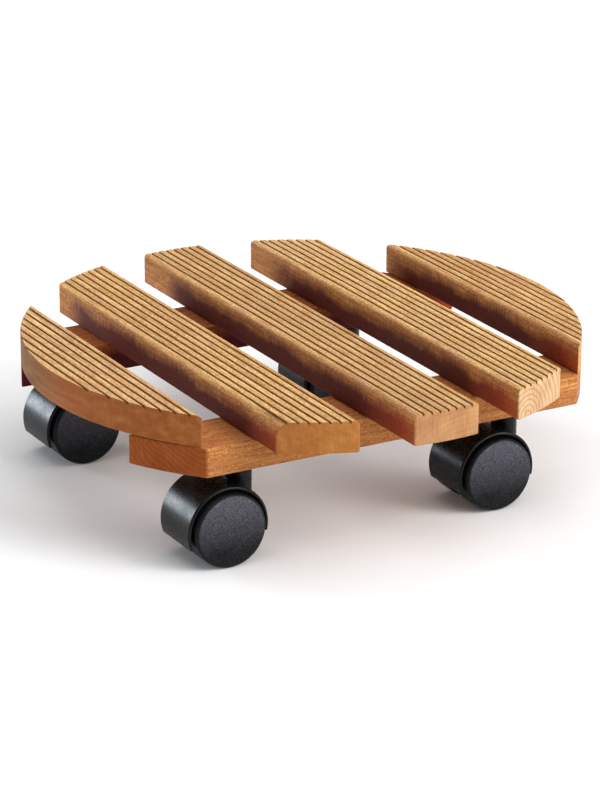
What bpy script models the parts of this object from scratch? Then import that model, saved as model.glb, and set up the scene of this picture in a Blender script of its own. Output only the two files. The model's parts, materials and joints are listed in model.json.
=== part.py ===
"""A round plant pot caddy: five grooved slats screwed to two battens, on four twin-wheel swivel casters.

Metres, +Z up. The origin is on the floor, under the centre of the platform. +X runs along the slats,
towards the front batten, and +Y runs across them. At rest every caster trails towards -Y, so that the
wheels turn about X and the whole caddy rolls along Y.
"""

import math

import bmesh
import bpy
from mathutils import Matrix, Vector

MM = 0.001

# What two pieces that touch on the real caddy keep between them here
GAP = 0.3 * MM

# How far a cutting shape runs past what it cuts
CUT_MARGIN = 2 * MM

# Platform
PLATFORM_RADIUS = 150 * MM
SLAT_NAMES = ("left_outer", "left_inner", "centre", "right_inner", "right_outer")
SLAT_WIDTH = 38 * MM
SLAT_THICKNESS = 17 * MM
SLAT_TOP_ROUND = 3 * MM
SLAT_BOTTOM_ROUND = 1 * MM
TOP_ROUND_STEPS = 4
BOTTOM_ROUND_STEPS = 2
RIDGES_PER_SLAT = 8
GROOVE_WIDTH = 1.3 * MM
GROOVE_FLOOR_WIDTH = 0.7 * MM
GROOVE_DEPTH = 1.5 * MM
BATTEN_WIDTH = 38 * MM
BATTEN_THICKNESS = 15.7 * MM
BATTEN_INSET = 67.65 * MM  # from the platform's edge to the batten's centre line, along X
PLATFORM_SIDES = 96

# Wood screws, driven up through the battens into the slats
SCREW_LENGTH = 28 * MM
SCREW_RADIUS = 1.6 * MM
SCREW_HEAD_RADIUS = 3.4 * MM
SCREW_HEAD_HEIGHT = 2.2 * MM
SCREW_SUNK = 0.2 * MM
SCREW_TIP = 4 * MM
SCREW_TIP_RADIUS = 0.3 * MM
SCREW_EDGE = 8 * MM  # from the batten's inner edge
OUTER_SCREW_EDGE = 7 * MM  # from an outer slat's straight edge
SCREW_STEPS = 8

# Caster: wheels and axle
WHEEL_RADIUS = 20 * MM
WHEEL_WIDTH = 13.5 * MM
WHEEL_DOME = 1 * MM
WHEEL_RIM = 2.2 * MM
WHEEL_FACE_WALL = 2.2 * MM
WHEEL_EDGE_ROUND = 2 * MM
HUB_RADIUS = 5.5 * MM
AXLE_RADIUS = 2 * MM
AXLE_CHAMFER = 0.4 * MM
RUNNING_CLEARANCE = 0.3 * MM
WHEEL_STEPS = 28
AXLE_STEPS = 12

# Caster: hood
WEB_WIDTH = 10 * MM
WHEEL_SIDE_CLEARANCE = 0.5 * MM
WHEEL_CLEARANCE = 1.5 * MM
FENDER_WALL = 1.4 * MM
FENDER_SHORT_OF_FACE = 3.2 * MM
FENDER_EDGE_ROUND = 1 * MM
FENDER_BELOW_AXLE = 15.5  # degrees that the fender wraps past a half circle, on each side
FENDER_TILT = 4.5  # degrees that it is turned back about the axle, so that its trailing edge is lower
HEAD_ROOM = 7.1 * MM  # from the fender's top to the batten
BOSS_RADIUS = 6.8 * MM
WEB_HUB_RADIUS = 6 * MM
WEB_HUB_PROUD = 0.4 * MM  # how far the hub stands out of the web, as a shoulder for each wheel
SWIVEL_OFFSET = 14 * MM  # from the swivel's axis back to the axle
SWIVEL_INSET = 30.7 * MM  # from the short corner of the batten's end to the swivel's axis, along Y
CASTER_SHIFT = 4.6 * MM  # all four casters stand this far to the left of their even places
CASTER_ADVANCE = 2.9 * MM  # and this far forward of the battens' centre lines
FENDER_STEPS = 32
BOSS_STEPS = 20

# Caster: stem, its socket in the batten, and the two spring rings
STEM_RADIUS = 3.9 * MM
STEM_GROOVE_DEPTH = 0.8 * MM
PIVOT_RADIUS = 3 * MM
PIVOT_GROOVE_DEPTH = 0.7 * MM
STEM_CHAMFER = 1 * MM
COLLAR_RADIUS = 6.5 * MM
COLLAR_THICKNESS = 1.2 * MM
SOCKET_WALL = 0.8 * MM
SOCKET_ROOF = 2.7 * MM  # wood left between the socket's end and the batten's top
SOCKET_FLANGE_RADIUS = 8 * MM
SOCKET_FLANGE_THICKNESS = 1 * MM
SOCKET_CLEARANCE = 0.5 * MM
PIVOT_END_ABOVE_AXLE = 5.5 * MM
RING_HEIGHT = 1 * MM
GRIP_RING_BELOW_TOP = 4 * MM
CLIP_ABOVE_PIVOT_END = 4 * MM
CLIP_WALL = 1.3 * MM
RING_SLOT = 1.5 * MM
STEM_STEPS = 14

# Heights and places that follow from the sizes above
FENDER_RADIUS = WHEEL_RADIUS + WHEEL_CLEARANCE + FENDER_WALL
CASTER_HEIGHT = WHEEL_RADIUS + FENDER_RADIUS + HEAD_ROOM
BATTEN_BOTTOM = CASTER_HEIGHT
BATTEN_TOP = BATTEN_BOTTOM + BATTEN_THICKNESS
SLAT_BOTTOM = BATTEN_TOP + GAP
SLAT_TOP = SLAT_BOTTOM + SLAT_THICKNESS
SLAT_PITCH = (2 * PLATFORM_RADIUS - SLAT_WIDTH) / (len(SLAT_NAMES) - 1)
BATTEN_X = PLATFORM_RADIUS - BATTEN_INSET
BATTEN_SHORT_END = math.sqrt(PLATFORM_RADIUS**2 - (BATTEN_X + BATTEN_WIDTH / 2) ** 2)
SWIVEL_Y = BATTEN_SHORT_END - SWIVEL_INSET
FLANGE_BOTTOM = BATTEN_BOTTOM - GAP - SOCKET_FLANGE_THICKNESS
COLLAR_TOP = FLANGE_BOTTOM - GAP
COLLAR_BOTTOM = COLLAR_TOP - COLLAR_THICKNESS
BOSS_TOP = COLLAR_BOTTOM - GAP
WHEEL_INNER_FACE = WEB_WIDTH / 2 + WHEEL_SIDE_CLEARANCE
WHEEL_OUTER_FACE = WHEEL_INNER_FACE + WHEEL_WIDTH
FENDER_HALF_WIDTH = WHEEL_OUTER_FACE - FENDER_SHORT_OF_FACE
AXLE_BORE_RADIUS = AXLE_RADIUS + RUNNING_CLEARANCE
AXLE_BORE_END = WHEEL_OUTER_FACE - WHEEL_FACE_WALL
AXLE_HALF_LENGTH = AXLE_BORE_END - RUNNING_CLEARANCE
SOCKET_BORE_RADIUS = STEM_RADIUS + SOCKET_CLEARANCE
SOCKET_RADIUS = SOCKET_BORE_RADIUS + SOCKET_WALL
SOCKET_TOP = BATTEN_TOP - SOCKET_ROOF
STEM_TOP = SOCKET_TOP - SOCKET_CLEARANCE
PIVOT_END = WHEEL_RADIUS + PIVOT_END_ABOVE_AXLE
CLIP_Z = PIVOT_END + CLIP_ABOVE_PIVOT_END
GRIP_RING_Z = STEM_TOP - GRIP_RING_BELOW_TOP

# Names and the side of the platform that each caster stands at, as signs of X and Y
CASTERS = {
    "front_left": (1, -1),
    "front_right": (1, 1),
    "rear_left": (-1, -1),
    "rear_right": (-1, 1),
}

ALONG_X = Matrix.Rotation(math.pi / 2, 4, "Y")  # turns a shape made about Z to lie about X


# Scene


def clear_scene():
    for obj in list(bpy.data.objects):
        bpy.data.objects.remove(obj, do_unlink=True)


def new_collection(name):
    collection = bpy.data.collections.new(name)
    bpy.context.scene.collection.children.link(collection)
    return collection


def new_material(name, colour, roughness, metallic=0.0):
    material = bpy.data.materials.new(name)
    material.use_nodes = True
    material.diffuse_color = (*colour, 1.0)
    shader = material.node_tree.nodes["Principled BSDF"]
    shader.inputs["Base Color"].default_value = (*colour, 1.0)
    shader.inputs["Roughness"].default_value = roughness
    shader.inputs["Metallic"].default_value = metallic
    return material


def add_object(name, data, collection, location=(0, 0, 0), parent=None):
    obj = bpy.data.objects.new(name, data)
    obj.location = location
    obj.parent = parent
    collection.objects.link(obj)
    return obj


def add_piece(name, mesh, material, location=(0, 0, 0), parent=None):
    """A sub-part. Copies may share a mesh, so the material sits on the object."""
    obj = add_object(name, mesh, parts, location, parent)
    if not mesh.materials:
        mesh.materials.append(None)
    obj.material_slots[0].link = "OBJECT"
    obj.material_slots[0].material = material
    return obj


def add_cutter(obj, group):
    """Keeps a cutting shape out of the model, in one of the cutters' collections."""
    for collection in list(obj.users_collection):
        collection.objects.unlink(obj)
    group.objects.link(obj)
    obj.hide_render = True
    obj.display_type = "WIRE"
    return obj


# Shapes


def arc(centre, radius, start, end, steps):
    """Points on an arc of a flat outline, both ends included. Angles are in degrees."""
    angles = [math.radians(start + (end - start) * i / steps) for i in range(steps + 1)]
    return [(centre[0] + radius * math.cos(a), centre[1] + radius * math.sin(a)) for a in angles]


def turned(name, profile, steps):
    """A solid of revolution about Z from (radius, height) points that run down its outer side.

    The profile closes on itself unless its ends lie on the axis. Flats, and not corners, face
    the X and Y axes.
    """
    half_step = math.pi / steps
    points = [(r * math.cos(half_step), r * math.sin(half_step), z) for r, z in profile]
    edges = [(i, i + 1) for i in range(len(points) - 1)]
    if profile[0][0] > 0:
        edges.append((len(points) - 1, 0))
    mesh = bpy.data.meshes.new(name)
    mesh.from_pydata(points, edges, [])
    obj = add_object(name, mesh, parts)
    screw = obj.modifiers.new("turn", "SCREW")
    screw.steps = steps
    screw.render_steps = steps
    screw.use_merge_vertices = True
    screw.merge_threshold = 0.01 * MM
    return obj


def cylinder(name, radius, bottom, top, steps, place=Matrix()):
    """A cylinder about Z between two heights, then moved by place."""
    bpy.ops.mesh.primitive_cylinder_add(vertices=steps, radius=radius, depth=top - bottom)
    obj = bpy.context.object
    obj.name = name
    obj.data.transform(Matrix.Translation((0, 0, (bottom + top) / 2)))
    obj.data.transform(place)
    return obj


def box(name, low, high):
    """A box between two corners."""
    bpy.ops.mesh.primitive_cube_add(size=1)
    obj = bpy.context.object
    obj.name = name
    low = Vector(low)
    high = Vector(high)
    obj.data.transform(Matrix.Diagonal((*(high - low), 1)))
    obj.data.transform(Matrix.Translation((low + high) / 2))
    return obj


def combine(obj, operation, *others):
    """Joins, cuts or trims obj with other objects. They are used up when obj is baked."""
    for other in others:
        modifier = obj.modifiers.new(other.name, "BOOLEAN")
        modifier.operation = operation
        modifier.object = other


def baked(obj, sharp_angle=30):
    """The finished mesh of obj, shaded smooth. It removes obj and what was combined with it."""
    bpy.context.view_layer.update()
    graph = bpy.context.evaluated_depsgraph_get()
    mesh = bpy.data.meshes.new_from_object(obj.evaluated_get(graph))
    mesh.name = obj.name
    mesh.shade_smooth()
    mesh.set_sharp_from_angle(angle=math.radians(sharp_angle))
    used = [m.object for m in obj.modifiers if m.type == "BOOLEAN"]
    for each in [obj, *used]:
        bpy.data.objects.remove(each)
    return mesh


def extruded(name, outline, length):
    """A flat outline of (y, z) points, drawn out along X to both sides of the origin."""
    curve = bpy.data.curves.new(name, "CURVE")
    curve.dimensions = "2D"
    curve.fill_mode = "BOTH"
    curve.extrude = length / 2
    spline = curve.splines.new("POLY")
    spline.points.add(len(outline) - 1)
    for point, (y, z) in zip(spline.points, outline, strict=True):
        point.co = (y, z, 0, 1)
    spline.use_cyclic_u = True
    obj = add_object(name, curve, parts)
    mesh = baked(obj)
    y_z_x = Matrix(((0, 0, 1, 0), (1, 0, 0, 0), (0, 1, 0, 0), (0, 0, 0, 1)))
    mesh.transform(y_z_x)
    weld(mesh)
    return mesh


def weld(mesh):
    """Joins a curve's caps to its sides."""
    bm = bmesh.new()
    bm.from_mesh(mesh)
    bmesh.ops.remove_doubles(bm, verts=bm.verts, dist=0.001 * MM)
    bm.to_mesh(mesh)
    bm.free()


# Platform


def slat_y(number):
    """The centre line of a slat, counted from the left."""
    return -PLATFORM_RADIUS + SLAT_WIDTH / 2 + number * SLAT_PITCH


def slat_outline():
    """A slat's section about its centre line: rounded edges, and grooves along the top."""
    half = SLAT_WIDTH / 2
    ridge_pitch = SLAT_WIDTH / RIDGES_PER_SLAT
    top_round = min(SLAT_TOP_ROUND, ridge_pitch - GROOVE_WIDTH)
    low_round = min(SLAT_BOTTOM_ROUND, SLAT_THICKNESS / 4)
    outline = arc((-half + low_round, SLAT_BOTTOM + low_round), low_round, 180, 270, BOTTOM_ROUND_STEPS)
    outline += arc((half - low_round, SLAT_BOTTOM + low_round), low_round, 270, 360, BOTTOM_ROUND_STEPS)
    outline += arc((half - top_round, SLAT_TOP - top_round), top_round, 0, 90, TOP_ROUND_STEPS)
    for number in range(RIDGES_PER_SLAT - 1, 0, -1):
        centre = -half + number * ridge_pitch
        outline.append((centre + GROOVE_WIDTH / 2, SLAT_TOP))
        outline.append((centre + GROOVE_FLOOR_WIDTH / 2, SLAT_TOP - GROOVE_DEPTH))
        outline.append((centre - GROOVE_FLOOR_WIDTH / 2, SLAT_TOP - GROOVE_DEPTH))
        outline.append((centre - GROOVE_WIDTH / 2, SLAT_TOP))
    outline += arc((-half + top_round, SLAT_TOP - top_round), top_round, 90, 180, TOP_ROUND_STEPS)
    return outline


def swivel_place(x_sign, y_sign):
    """Where a caster's swivel axis meets the floor."""
    return (x_sign * BATTEN_X + CASTER_ADVANCE, y_sign * SWIVEL_Y - CASTER_SHIFT, 0)


def screw_places():
    """(batten's side, slat's number, x, y) of each screw."""
    x = BATTEN_X - BATTEN_WIDTH / 2 + SCREW_EDGE
    last = len(SLAT_NAMES) - 1
    for side in (1, -1):
        for number in range(len(SLAT_NAMES)):
            y = slat_y(number)
            if number in (0, last):
                y = math.copysign(abs(y) - SLAT_WIDTH / 2 + OUTER_SCREW_EDGE, y)
            yield side, number, side * x, y


def screw_profile(clearance, head_bottom):
    """A countersunk screw, point up, grown by a clearance to make the hole that it needs."""
    head_top = BATTEN_BOTTOM + SCREW_SUNK + SCREW_HEAD_HEIGHT + clearance
    point = BATTEN_BOTTOM + SCREW_SUNK + SCREW_LENGTH + clearance
    shank = SCREW_RADIUS + clearance
    return [
        (0, point),
        (SCREW_TIP_RADIUS + clearance, point),
        (shank, point - SCREW_TIP),
        (shank, head_top),
        (SCREW_HEAD_RADIUS + clearance, BATTEN_BOTTOM + SCREW_SUNK + clearance),
        (SCREW_HEAD_RADIUS + clearance, head_bottom),
        (0, head_bottom),
    ]


def drill_cutters():
    """The holes for the screws, through the battens into the slats, and for the casters' sockets."""
    below = BATTEN_BOTTOM - CUT_MARGIN
    for side, number, x, y in screw_places():
        hole = add_cutter(turned("screw_hole", screw_profile(GAP, below), SCREW_STEPS), drills)
        hole.location = (x, y, 0)
    for x_sign, y_sign in CASTERS.values():
        radius = SOCKET_RADIUS + GAP
        profile = [(0, SOCKET_TOP + GAP), (radius, SOCKET_TOP + GAP), (radius, below), (0, below)]
        hole = add_cutter(turned("socket_hole", profile, STEM_STEPS), drills)
        hole.location = swivel_place(x_sign, y_sign)


def trim_and_drill(obj, disc):
    """Cuts a board to the round platform, and drills it."""
    trim = obj.modifiers.new("round", "BOOLEAN")
    trim.operation = "INTERSECT"
    trim.object = disc
    drill = obj.modifiers.new("holes", "BOOLEAN")
    drill.operand_type = "COLLECTION"
    drill.collection = drills
    return obj


def build_platform():
    below = BATTEN_BOTTOM - CUT_MARGIN
    disc = cylinder("platform_disc", PLATFORM_RADIUS, below, SLAT_TOP + CUT_MARGIN, PLATFORM_SIDES)
    add_cutter(disc, cutters)
    length = 2 * (PLATFORM_RADIUS + CUT_MARGIN)
    for number, name in enumerate(SLAT_NAMES):
        mesh = extruded("slat_" + name, slat_outline(), length)
        mesh.transform(Matrix.Translation((0, slat_y(number), 0)))
        trim_and_drill(add_piece("slat_" + name, mesh, wood), disc)
    for name, side in (("front", 1), ("rear", -1)):
        inner = side * (BATTEN_X - BATTEN_WIDTH / 2)
        outer = side * (BATTEN_X + BATTEN_WIDTH / 2)
        board = box(
            "batten",
            (min(inner, outer), -PLATFORM_RADIUS, BATTEN_BOTTOM),
            (max(inner, outer), PLATFORM_RADIUS, BATTEN_TOP),
        )
        trim_and_drill(add_piece("batten_" + name, baked(board), wood), disc)


def build_screws():
    mesh = baked(turned("screw", screw_profile(0, BATTEN_BOTTOM + SCREW_SUNK), SCREW_STEPS))
    for side, number, x, y in screw_places():
        batten = "front" if side > 0 else "rear"
        add_piece(f"screw_{batten}_{SLAT_NAMES[number]}", mesh, steel, (x, y, 0))


# Casters


def wheel_mesh():
    """A moulded wheel about X, domed outside and open towards the hood's web.

    Its tread's flats, and not their corners, are at the wheel's radius, so that it stands on the floor.
    """
    tread = WHEEL_RADIUS / math.cos(math.pi / WHEEL_STEPS)
    rim = WHEEL_RADIUS - WHEEL_EDGE_ROUND
    inside = WHEEL_RADIUS - WHEEL_RIM
    floor = AXLE_BORE_END
    hub_end = WEB_WIDTH / 2 + WEB_HUB_PROUD + RUNNING_CLEARANCE
    dome = [(share * rim, WHEEL_OUTER_FACE + WHEEL_DOME * (1 - share**2)) for share in (0, 0.5, 1)]
    profile = [
        *dome,
        (tread, WHEEL_OUTER_FACE - WHEEL_EDGE_ROUND),
        (tread, WHEEL_INNER_FACE),
        (inside, WHEEL_INNER_FACE),
        (inside, floor),
        (HUB_RADIUS, floor),
        (HUB_RADIUS, hub_end),
        (AXLE_BORE_RADIUS, hub_end),
        (AXLE_BORE_RADIUS, floor),
        (0, floor),
    ]
    mesh = baked(turned("wheel", profile, WHEEL_STEPS))
    mesh.transform(ALONG_X)
    return mesh


def axle_mesh():
    end = AXLE_HALF_LENGTH
    tip = AXLE_RADIUS - AXLE_CHAMFER
    profile = [
        (0, end),
        (tip, end),
        (AXLE_RADIUS, end - AXLE_CHAMFER),
        (AXLE_RADIUS, AXLE_CHAMFER - end),
        (tip, -end),
        (0, -end),
    ]
    mesh = baked(turned("axle", profile, AXLE_STEPS))
    mesh.transform(ALONG_X)
    return mesh


def fender_blank(place):
    """The solid drum, with eased edges, that the hood is hollowed from."""
    half = FENDER_HALF_WIDTH
    edge = FENDER_EDGE_ROUND
    profile = [
        (0, half),
        (FENDER_RADIUS - edge, half),
        (FENDER_RADIUS, half - edge),
        (FENDER_RADIUS, edge - half),
        (FENDER_RADIUS - edge, -half),
        (0, -half),
    ]
    mesh = baked(turned("hood", profile, FENDER_STEPS))
    mesh.transform(place)
    return add_object("hood", mesh, parts)


def hood_mesh():
    """The hood about the swivel's axis: a fender over both wheels, the web between them, and the boss."""
    at_axle = Matrix.Translation((0, -SWIVEL_OFFSET, WHEEL_RADIUS)) @ ALONG_X
    fender_end = -FENDER_RADIUS * math.sin(math.radians(FENDER_BELOW_AXLE))
    well_radius = WHEEL_RADIUS + WHEEL_CLEARANCE
    half_web = WEB_WIDTH / 2
    past = FENDER_HALF_WIDTH + CUT_MARGIN
    reach = 2 * FENDER_RADIUS
    hood = fender_blank(at_axle)
    boss = cylinder("boss", BOSS_RADIUS, 0, BOSS_TOP, BOSS_STEPS)
    below = box("below", (-reach, -reach, -reach), (reach, reach, fender_end))
    below.data.transform(Matrix.Rotation(math.radians(FENDER_TILT), 4, "X"))
    below.data.transform(Matrix.Translation((0, -SWIVEL_OFFSET, WHEEL_RADIUS)))
    wells = [
        cylinder("well", well_radius, low, high, FENDER_STEPS, at_axle)
        for low, high in ((half_web, past), (-past, -half_web))
    ]
    half_hub = half_web + WEB_HUB_PROUD
    web_hub = cylinder("web_hub", WEB_HUB_RADIUS, -half_hub, half_hub, STEM_STEPS, at_axle)
    axle_bore = cylinder("axle_bore", AXLE_BORE_RADIUS, -past, past, AXLE_STEPS, at_axle)
    combine(hood, "UNION", boss)
    combine(hood, "DIFFERENCE", below, *wells)
    combine(hood, "UNION", web_hub)
    combine(hood, "DIFFERENCE", axle_bore, pivot_bore())
    return baked(hood)


def pivot_bore():
    """The blind bore that turns on the stem's pivot, with an undercut for the clip."""
    bore = PIVOT_RADIUS + RUNNING_CLEARANCE
    undercut = PIVOT_RADIUS - PIVOT_GROOVE_DEPTH + GAP + CLIP_WALL + RUNNING_CLEARANCE
    end = PIVOT_END - RUNNING_CLEARANCE
    half = RING_HEIGHT / 2 + RUNNING_CLEARANCE
    above = BOSS_TOP + CUT_MARGIN
    profile = [
        (0, above),
        (bore, above),
        (bore, CLIP_Z + half),
        (undercut, CLIP_Z + half),
        (undercut, CLIP_Z - half),
        (bore, CLIP_Z - half),
        (bore, end),
        (0, end),
    ]
    return turned("pivot_bore", profile, STEM_STEPS)


def groove(radius, depth, centre):
    """Four points of a groove in a turned profile, from its top edge down."""
    half = RING_HEIGHT / 2 + GAP
    return [
        (radius, centre + half),
        (radius - depth, centre + half),
        (radius - depth, centre - half),
        (radius, centre - half),
    ]


def stem_mesh():
    """The steel stem: a shank for the socket above its collar, and the hood's pivot below."""
    profile = [
        (0, STEM_TOP),
        (STEM_RADIUS - STEM_CHAMFER, STEM_TOP),
        (STEM_RADIUS, STEM_TOP - STEM_CHAMFER),
        *groove(STEM_RADIUS, STEM_GROOVE_DEPTH, GRIP_RING_Z),
        (STEM_RADIUS, COLLAR_TOP),
        (COLLAR_RADIUS, COLLAR_TOP),
        (COLLAR_RADIUS, COLLAR_BOTTOM),
        (PIVOT_RADIUS, COLLAR_BOTTOM),
        *groove(PIVOT_RADIUS, PIVOT_GROOVE_DEPTH, CLIP_Z),
        (PIVOT_RADIUS, PIVOT_END + STEM_CHAMFER),
        (PIVOT_RADIUS - STEM_CHAMFER, PIVOT_END),
        (0, PIVOT_END),
    ]
    return baked(turned("stem", profile, STEM_STEPS))


def socket_mesh():
    """The flanged sleeve that is pressed into the batten."""
    profile = [
        (SOCKET_BORE_RADIUS, SOCKET_TOP),
        (SOCKET_RADIUS, SOCKET_TOP),
        (SOCKET_RADIUS, FLANGE_BOTTOM + SOCKET_FLANGE_THICKNESS),
        (SOCKET_FLANGE_RADIUS, FLANGE_BOTTOM + SOCKET_FLANGE_THICKNESS),
        (SOCKET_FLANGE_RADIUS, FLANGE_BOTTOM),
        (SOCKET_BORE_RADIUS, FLANGE_BOTTOM),
    ]
    return baked(turned("socket", profile, STEM_STEPS))


def split_ring_mesh(name, inner, outer, centre):
    """An open spring ring, with its slot towards +Y."""
    low = centre - RING_HEIGHT / 2
    high = centre + RING_HEIGHT / 2
    ring = turned(name, [(inner, high), (outer, high), (outer, low), (inner, low)], STEM_STEPS)
    half_slot = RING_SLOT / 2
    past = outer + CUT_MARGIN
    slot = box("slot", (-half_slot, 0, low - CUT_MARGIN), (half_slot, past, high + CUT_MARGIN))
    combine(ring, "DIFFERENCE", slot)
    return baked(ring)


def add_pivot_point(name, location, parent=None):
    """An empty on a joint's axis."""
    return add_object(name, None, parts, location, parent)


def build_casters():
    hood = hood_mesh()
    wheel_a = wheel_mesh()
    wheel_b = wheel_a.copy()
    wheel_b.transform(Matrix.Rotation(math.pi, 4, "Z"))
    axle = axle_mesh()
    stem = stem_mesh()
    socket = socket_mesh()
    grip_inner = STEM_RADIUS - STEM_GROOVE_DEPTH + GAP
    grip_outer = (STEM_RADIUS + SOCKET_BORE_RADIUS) / 2
    grip_ring = split_ring_mesh("grip_ring", grip_inner, grip_outer, GRIP_RING_Z)
    clip_inner = PIVOT_RADIUS - PIVOT_GROOVE_DEPTH + GAP
    clip = split_ring_mesh("pivot_clip", clip_inner, clip_inner + CLIP_WALL, CLIP_Z)
    for corner, (x_sign, y_sign) in CASTERS.items():
        name = "caster_" + corner
        place = swivel_place(x_sign, y_sign)
        add_piece(name + "_socket", socket, steel, place)
        add_piece(name + "_stem", stem, steel, place)
        add_piece(name + "_grip_ring", grip_ring, steel, place)
        add_piece(name + "_pivot_clip", clip, steel, place)
        swivel = add_pivot_point(name + "_swivel_axis", place)
        add_piece(name + "_hood", hood, plastic, parent=swivel)
        at_axle = add_pivot_point(name + "_axle_axis", (0, -SWIVEL_OFFSET, WHEEL_RADIUS), swivel)
        add_piece(name + "_axle", axle, steel, parent=at_axle)
        add_piece(name + "_wheel_a", wheel_a, plastic, parent=at_axle)
        add_piece(name + "_wheel_b", wheel_b, plastic, parent=at_axle)


clear_scene()
parts = new_collection("plant_pot_caddy")
cutters = new_collection("cutters")
drills = bpy.data.collections.new("drills")
cutters.children.link(drills)
wood = new_material("oiled_wood", (0.48, 0.24, 0.09), 0.6)
plastic = new_material("black_plastic", (0.02, 0.02, 0.022), 0.45)
steel = new_material("zinc_steel", (0.6, 0.6, 0.6), 0.35, 1.0)
drill_cutters()
build_platform()
build_screws()
build_casters()
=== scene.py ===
"""Looks for the plant pot caddy: grooved oiled slats on two battens, and black twin-wheel casters.

Everything is in metres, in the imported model's frame: +Z up from the floor, +X along the slats.
"""

import json
import math

import bmesh
import bpy
from mathutils import Matrix, Vector

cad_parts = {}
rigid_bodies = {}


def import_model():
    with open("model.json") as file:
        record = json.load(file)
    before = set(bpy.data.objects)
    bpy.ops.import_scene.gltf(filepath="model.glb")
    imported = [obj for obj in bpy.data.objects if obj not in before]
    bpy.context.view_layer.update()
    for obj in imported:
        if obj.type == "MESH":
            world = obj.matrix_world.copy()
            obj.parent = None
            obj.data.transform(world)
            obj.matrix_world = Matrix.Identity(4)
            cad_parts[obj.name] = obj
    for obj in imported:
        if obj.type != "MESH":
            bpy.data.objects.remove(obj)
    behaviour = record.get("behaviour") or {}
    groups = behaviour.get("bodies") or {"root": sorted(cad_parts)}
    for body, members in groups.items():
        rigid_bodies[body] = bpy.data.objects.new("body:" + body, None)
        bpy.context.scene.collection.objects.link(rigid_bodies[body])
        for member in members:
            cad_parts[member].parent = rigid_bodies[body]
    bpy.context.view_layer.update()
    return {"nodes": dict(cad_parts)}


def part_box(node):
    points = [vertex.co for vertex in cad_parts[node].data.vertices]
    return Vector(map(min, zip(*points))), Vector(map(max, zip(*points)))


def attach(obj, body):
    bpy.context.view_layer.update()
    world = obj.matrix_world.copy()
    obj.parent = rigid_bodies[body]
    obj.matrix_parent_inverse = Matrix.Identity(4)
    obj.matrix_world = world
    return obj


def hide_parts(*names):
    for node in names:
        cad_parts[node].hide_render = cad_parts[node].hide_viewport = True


MM = 0.001

SLATS = ("left_outer", "left_inner", "centre", "right_inner", "right_outer")
BATTENS = ("front", "rear")
CORNERS = ("front_left", "front_right", "rear_left", "rear_right")
STEEL_ENDINGS = ("_stem", "_grip_ring", "_pivot_clip", "_axle")  # the nodes that keep their CAD meshes

# Camera
CAMERA_AZIMUTH = 60.5
CAMERA_ELEVATION = 20.3
CAMERA_ROLL = 0.25
CAMERA_DISTANCE = 1.808
CAMERA_AIM = (0.0049, -0.0033, 0.0415)
CAMERA_LENS = 151.2
CAMERA_CLIP_START = 0.05

# Light and floor
WORLD_STRENGTH = 0.36
SUNS = {
    "overhead": {"direction": (0.1, 0.1, 1.0), "strength": 1.45, "angle": 75},
    "key": {"direction": (1.0, 0.9, 0.8), "strength": 2.0, "angle": 34},
}
SOFTBOXES = {
    "side": {"place": (-0.98, -0.70, 0.22), "size": (0.36, 0.36), "power": 7.4, "colour": (0.82, 0.92, 1.0)},
    "front": {"place": (1.30, 0.60, 0.34), "size": (1.0, 0.4), "power": 7.0, "colour": (1.0, 1.0, 1.0)},
}
FLOOR_SIZE = 12.0
FLOOR_SQUARES = 8
FLOOR_GREYS = (0.87, 0.89)

# Rounding and cutting
SMOOTH_ANGLE = 40  # in degrees, past which an edge is sharp
BOARD_SMOOTH_ANGLE = 50
HOOD_SMOOTH_ANGLE = 35
TURN_STEPS = 96
SMALL_TURN_STEPS = 48
ARC_STEPS = 5
CUT_MARGIN = 2 * MM  # how far a cutter stands out of what it cuts

# Boards
RIDGES = 8
GROOVE_WIDTH = 1.25 * MM
GROOVE_DEPTH = 1.5 * MM
RIDGE_CROWN = 0.45 * MM  # how far a ridge falls from its middle to its grooves
SHOULDER = 0.75 * MM  # how far out of a groove its dirt and painted shade reach
SHOULDER_DIRT_AND_SHADE = 0.42  # how much of the dirt and painted shade is left at the groove's lip
GROOVE_FADE_RIM = 1.2 * MM  # how far in from the rim the grooves are scuffed, and their dirt and painted shade fade out
SLAT_ROUND = 3 * MM
BATTEN_ROUND = 1.2 * MM
FOOT_ROUND = 0.9 * MM
RIM_ROUND = 0.8 * MM
CORNER_ROUND = 1.3 * MM  # the upright corners at a board's ends
RUBBED_LENGTH = 38 * MM  # how far a rubbed corner reaches along the board
RUBBED_RAMP = 22 * MM  # how much of that length it takes to reach its full depth
RUBBED_WIDTH = 4.4 * MM

# Where a board's points stand. The rim is the circle that it is cut to
ROUND_STEPS = 6
GROOVE_COLUMNS = (0, 0.35, 0.7, 1.0, 1.35, 2.0)  # half groove widths out from a groove's centre
PLAIN_COLUMNS = (0.25, 0.5, 0.75)  # shares of the width of a board with no grooves
RIM_COLUMNS = [d * MM for d in (0, 0.05, 0.15, 0.3, 0.55, 0.9, 1.4, 2.1, 3.0, 4.2)]
RIM_ROWS = [d * MM for d in (0, 0.06, 0.2, 0.42, 0.8, 1.4)]
RIM_ROW_SHARE = 0.12  # of a short column's half length, the most between one rim row and the next
INNER_ROWS = (0.94, 0.86, 0.76, 0.64, 0.5, 0.34, 0.17, 0.0)  # shares of the way out to the last rim row
MIN_RIM_SLOPE = 0.1  # the least share of the radius that a half length counts as when rim rows are spread
MIN_HALF_LENGTH = 0.5 * MM
MIN_COLUMN_GAP = 0.02 * MM
MERGE_DISTANCE = 0.001 * MM

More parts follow.
